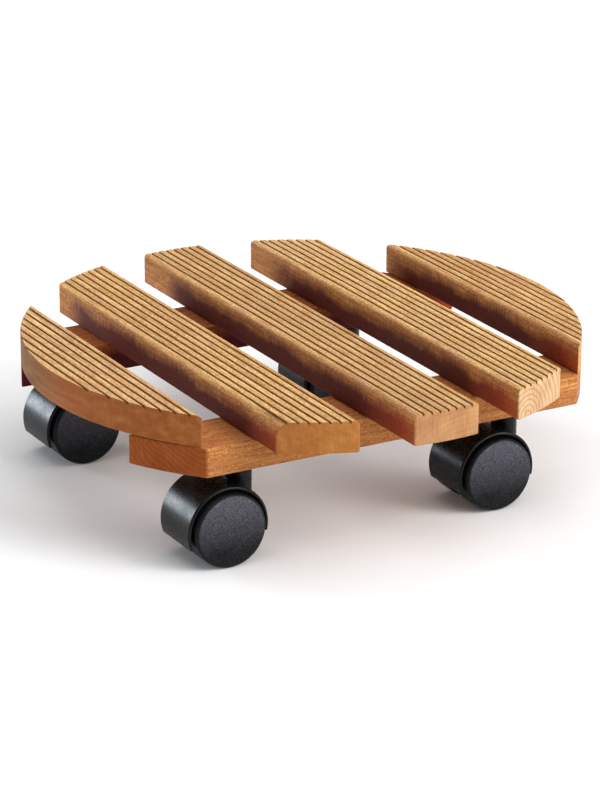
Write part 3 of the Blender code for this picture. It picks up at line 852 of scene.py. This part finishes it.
def screw_hole(batten, slat, bottom, top):
    """The countersunk hole that a screw needs, right through its batten."""
    low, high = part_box(f"screw_{batten}_{slat}")
    head, bore = SCREW_HEAD_RADIUS + HOLE_CLEARANCE, SCREW_RADIUS + HOLE_CLEARANCE
    profile = [
        (0, top + CUT_MARGIN),
        (bore, top + CUT_MARGIN),
        (bore, low.z + SCREW_HEAD_HEIGHT),
        (head, low.z + HEAD_RIM),
        (head, bottom - CUT_MARGIN),
        (0, bottom - CUT_MARGIN),
    ]
    mesh = turned("hole", profile, SMALL_TURN_STEPS)
    mesh.transform(Matrix.Translation(((low.x + high.x) / 2, (low.y + high.y) / 2, 0)))
    return mesh


def add_battens(platform_radius):
    for batten in BATTENS:
        node = "batten_" + batten
        low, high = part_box(node)
        rounds = (BATTEN_ROUND, BATTEN_ROUND)
        mesh = board_mesh(node, 1, (low.x, low.z), (high.x, high.z), platform_radius, rounds)
        mesh = combined(mesh, *[("DIFFERENCE", screw_hole(batten, slat, low.z, high.z)) for slat in SLATS])
        look = COMMON_LOOK | BOARD_LOOKS[node]
        material = wood_material(node + "_wood", (1, low, high, high.y), look)
        piece = new_object(node + "_planed", mesh, BOARD_SMOOTH_ANGLE)
        finish_piece(piece, material, node, "platform")


# Casters


def box_mesh(name, low, high, place=Matrix()):
    bm = bmesh.new()
    size = Vector(high) - Vector(low)
    middle = (Vector(high) + Vector(low)) / 2
    bmesh.ops.create_cube(bm, matrix=place @ Matrix.Translation(middle) @ Matrix.Diagonal((*size, 1)))
    return mesh_from(bm, name)


def rod_mesh(name, radius, low, high, steps, place=Matrix()):
    mesh = turned(name, [(0, high), (radius, high), (radius, low), (0, low)], steps)
    mesh.transform(place)
    return mesh


def wheel_mesh():
    """A moulded wheel about X: a domed face with its gate mark, a rounded tread, and a hollow inner side."""
    rim = WHEEL_RADIUS - WHEEL_EDGE
    face = [(share * rim, WHEEL_OUTER_FACE + WHEEL_DOME * (1 - share**2)) for share in FACE_SHARES]
    middle = WHEEL_OUTER_FACE + WHEEL_DOME
    profile = [
        (0, middle - DIMPLE_DEPTH),
        (DIMPLE_FLOOR_RADIUS, middle - DIMPLE_DEPTH + DIMPLE_FLOOR_RISE),
        *face,
        *arc((rim, WHEEL_OUTER_FACE - WHEEL_EDGE), WHEEL_EDGE, WHEEL_EDGE_START, 0, ARC_STEPS),
        (WHEEL_RADIUS, WHEEL_INNER_FACE + TREAD_EASE),
        (WHEEL_RADIUS - TREAD_EASE, WHEEL_INNER_FACE),
        (WHEEL_RADIUS - WHEEL_RIM, WHEEL_INNER_FACE),
        (WHEEL_RADIUS - WHEEL_RIM - TREAD_EASE, WHEEL_FLOOR),
        (HUB_RADIUS + TREAD_EASE, WHEEL_FLOOR),
        (HUB_RADIUS, HUB_END),
        (AXLE_BORE, HUB_END),
        (AXLE_BORE, WHEEL_FLOOR),
        (0, WHEEL_FLOOR),
    ]
    mesh = turned("wheel", profile, TURN_STEPS)
    mesh.transform(ALONG_X)
    return mesh


def hood_mesh():
    """The hood about the swivel's axis: a fender over both wheels, the web between them, and the boss."""
    axle = Matrix.Translation((0, -TRAIL, WHEEL_RADIUS))
    half, past = FENDER_HALF_WIDTH, FENDER_HALF_WIDTH + CUT_MARGIN
    side = arc((FENDER_RADIUS - FENDER_EDGE, half - FENDER_EDGE), FENDER_EDGE, 90, 0, ARC_STEPS)
    outline = [(0, half), *side, *[(radius, -height) for radius, height in reversed(side)], (0, -half)]
    drum = turned("hood", outline, TURN_STEPS)
    drum.transform(axle @ ALONG_X)
    top = arc((BOSS_RADIUS - BOSS_EDGE, BOSS_TOP - BOSS_EDGE), BOSS_EDGE, 90, 0, ARC_STEPS)
    boss = turned("boss", [(0, BOSS_TOP), *top, (BOSS_RADIUS, 0), (0, 0)], SMALL_TURN_STEPS)
    reach = 2 * FENDER_RADIUS
    cut = -FENDER_RADIUS * math.sin(math.radians(FENDER_BELOW_AXLE))
    tilt = axle @ Matrix.Rotation(math.radians(FENDER_TILT), 4, "X")
    below = box_mesh("below", (-reach, -reach, -reach), (reach, reach, cut), tilt)
    well = FENDER_RADIUS - FENDER_WALL
    wells = [
        rod_mesh("well", well, low, high, TURN_STEPS, axle @ ALONG_X)
        for low, high in ((WEB_HALF_WIDTH, past), (-past, -WEB_HALF_WIDTH))
    ]
    hub = WEB_HALF_WIDTH + WEB_HUB_PROUD
    pivot = rod_mesh("pivot", PIVOT_BORE, PIVOT_BORE_END, BOSS_TOP + CUT_MARGIN, SMALL_TURN_STEPS)
    return combined(
        drum,
        ("UNION", boss),
        ("DIFFERENCE", below),
        ("DIFFERENCE", wells[0]),
        ("DIFFERENCE", wells[1]),
        ("UNION", rod_mesh("hub", WEB_HUB_RADIUS, -hub, hub, SMALL_TURN_STEPS, axle @ ALONG_X)),
        ("DIFFERENCE", rod_mesh("bore", AXLE_BORE, -past, past, SMALL_TURN_STEPS, axle @ ALONG_X)),
        ("DIFFERENCE", pivot),
    )


def add_casters(hood_plastic, wheel_plastic):
    hood = hood_mesh()
    wheel = wheel_mesh()
    for corner in CORNERS:
        node = "caster_" + corner
        low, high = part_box(node + "_stem")
        swivel = (low + high) / 2
        low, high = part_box(node + "_axle")
        axle = (low + high) / 2
        piece = new_object(node + "_hood_moulded", hood, HOOD_SMOOTH_ANGLE)
        piece.location = (swivel.x, swivel.y, 0)
        finish_piece(piece, hood_plastic, node + "_hood", "swivel_" + corner)
        for side, turn in (("a", 0), ("b", math.pi)):
            piece = new_object(f"{node}_wheel_{side}_moulded", wheel)
            piece.location = axle
            piece.rotation_euler = (0, 0, turn)
            finish_piece(
                piece, wheel_plastic, f"{node}_wheel_{side}", f"wheel_{corner}_{side}"
            )


# Screws and sockets


def screw_mesh(length):
    """A countersunk cross-head wood screw, point up, with its head's face at height 0."""
    shank = length - SCREW_TIP
    profile = [
        (0, length),
        (SCREW_TIP_RADIUS, length),
        (SCREW_RADIUS, shank),
        (SCREW_RADIUS, SCREW_HEAD_HEIGHT),
        (SCREW_HEAD_RADIUS, HEAD_RIM),
        (SCREW_HEAD_RADIUS - HEAD_RIM, 0),
        (0, 0),
    ]
    long, wide = RECESS_LENGTH / 2, RECESS_WIDTH / 2
    return combined(
        turned("screw", profile, SMALL_TURN_STEPS),
        ("DIFFERENCE", box_mesh("slot", (-long, -wide, -RECESS_DEPTH), (long, wide, RECESS_DEPTH))),
        ("DIFFERENCE", box_mesh("slot", (-wide, -long, -RECESS_DEPTH), (wide, long, RECESS_DEPTH))),
    )


def socket_mesh(size):
    """The flanged sleeve, with its flange's face at height 0."""
    flange = size.x / 2
    profile = [
        (SOCKET_BORE, size.z),
        (SOCKET_RADIUS, size.z),
        (SOCKET_RADIUS, FLANGE_THICKNESS),
        (flange, FLANGE_THICKNESS),
        *arc((flange - FLANGE_EDGE, FLANGE_EDGE), FLANGE_EDGE, 0, -90, ARC_STEPS),
        (SOCKET_BORE, 0),
    ]
    return turned("socket", profile, SMALL_TURN_STEPS)


def add_fittings(steel):
    """Screws and sockets in finer shapes."""
    low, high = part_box("screw_front_centre")
    screw = screw_mesh(high.z - low.z)
    for batten in BATTENS:
        for slat in SLATS:
            node = f"screw_{batten}_{slat}"
            low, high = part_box(node)
            piece = new_object(node + "_cross_head", screw)
            piece.location = ((low.x + high.x) / 2, (low.y + high.y) / 2, low.z)
            finish_piece(piece, steel, node, "platform")
    low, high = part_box("caster_front_left_socket")
    socket = socket_mesh(high - low)
    for corner in CORNERS:
        node = f"caster_{corner}_socket"
        low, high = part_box(node)
        piece = new_object(node + "_flanged", socket)
        piece.location = ((low.x + high.x) / 2, (low.y + high.y) / 2, low.z)
        finish_piece(piece, steel, node, "platform")


# Camera, light and floor


def add_camera():
    data = bpy.data.cameras.new("camera")
    data.lens = CAMERA_LENS
    data.clip_start = CAMERA_CLIP_START
    camera = bpy.data.objects.new("camera", data)
    bpy.context.scene.collection.objects.link(camera)
    azimuth = math.radians(CAMERA_AZIMUTH)
    elevation = math.radians(CAMERA_ELEVATION)
    back = Vector((
        math.sin(azimuth) * math.cos(elevation),
        -math.cos(azimuth) * math.cos(elevation),
        math.sin(elevation),
    ))
    turn = back.to_track_quat("Z", "Y").to_matrix().to_4x4()
    roll = Matrix.Rotation(math.radians(CAMERA_ROLL), 4, "Z")
    camera.matrix_world = Matrix.Translation(Vector(CAMERA_AIM) + back * CAMERA_DISTANCE) @ turn @ roll
    bpy.context.scene.camera = camera


def add_sun(name, direction, strength, angle):
    data = bpy.data.lights.new(name, "SUN")
    data.energy = strength
    data.angle = math.radians(angle)
    sun = bpy.data.objects.new(name, data)
    bpy.context.scene.collection.objects.link(sun)
    sun.rotation_euler = Vector(direction).to_track_quat("Z", "Y").to_euler()


def add_softbox(name, place, size, power, colour):
    """A rectangular light that faces the middle of the caddy."""
    data = bpy.data.lights.new(name, "AREA")
    data.shape = "RECTANGLE"
    data.size, data.size_y = size
    data.energy = power
    data.color = colour
    light = bpy.data.objects.new(name, data)
    bpy.context.scene.collection.objects.link(light)
    light.visible_camera = False
    light.location = place
    light.rotation_euler = (Vector(place) - Vector(CAMERA_AIM)).to_track_quat("Z", "Y").to_euler()


def add_lights():
    scene = bpy.context.scene
    scene.view_settings.view_transform = "Standard"
    scene.world = bpy.data.worlds.new("studio")
    scene.world.use_nodes = True
    background = scene.world.node_tree.nodes["Background"]
    background.inputs["Color"].default_value = (1.0, 1.0, 1.0, 1.0)
    background.inputs["Strength"].default_value = WORLD_STRENGTH
    for name, settings in SUNS.items():
        add_sun(name, **settings)
    for name, settings in SOFTBOXES.items():
        add_softbox(name, **settings)


def add_floor():
    n = Nodes("floor_paper")
    low, high = [(grey, grey, grey) for grey in FLOOR_GREYS]
    pattern = n.noise(n.add("TexCoord").outputs["Object"], 30.0)
    n.link(n.ramp(pattern, (0.3, low), (0.7, high)), n.shader.inputs["Base Color"])
    n.shader.inputs["Roughness"].default_value = 0.9
    bm = bmesh.new()
    bmesh.ops.create_grid(bm, x_segments=FLOOR_SQUARES, y_segments=FLOOR_SQUARES, size=FLOOR_SIZE)
    floor = bpy.data.objects.new("floor", mesh_from(bm, "floor"))
    bpy.context.scene.collection.objects.link(floor)
    set_material(floor, n.material)


clear_scene()
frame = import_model()
add_camera()
add_lights()
add_floor()
platform_radius = max(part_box("slat_centre")[1].x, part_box("slat_right_outer")[1].y)
add_slats(platform_radius)
add_battens(platform_radius)
steel = steel_material("zinc_steel")
add_casters(
    plastic_material("black_plastic_hood", **HOOD_PLASTIC),
    plastic_material("black_plastic_wheel", **WHEEL_PLASTIC),
)
add_fittings(steel)
for name, node in frame["nodes"].items():
    if name.endswith(STEEL_ENDINGS):
        set_material(node, steel)
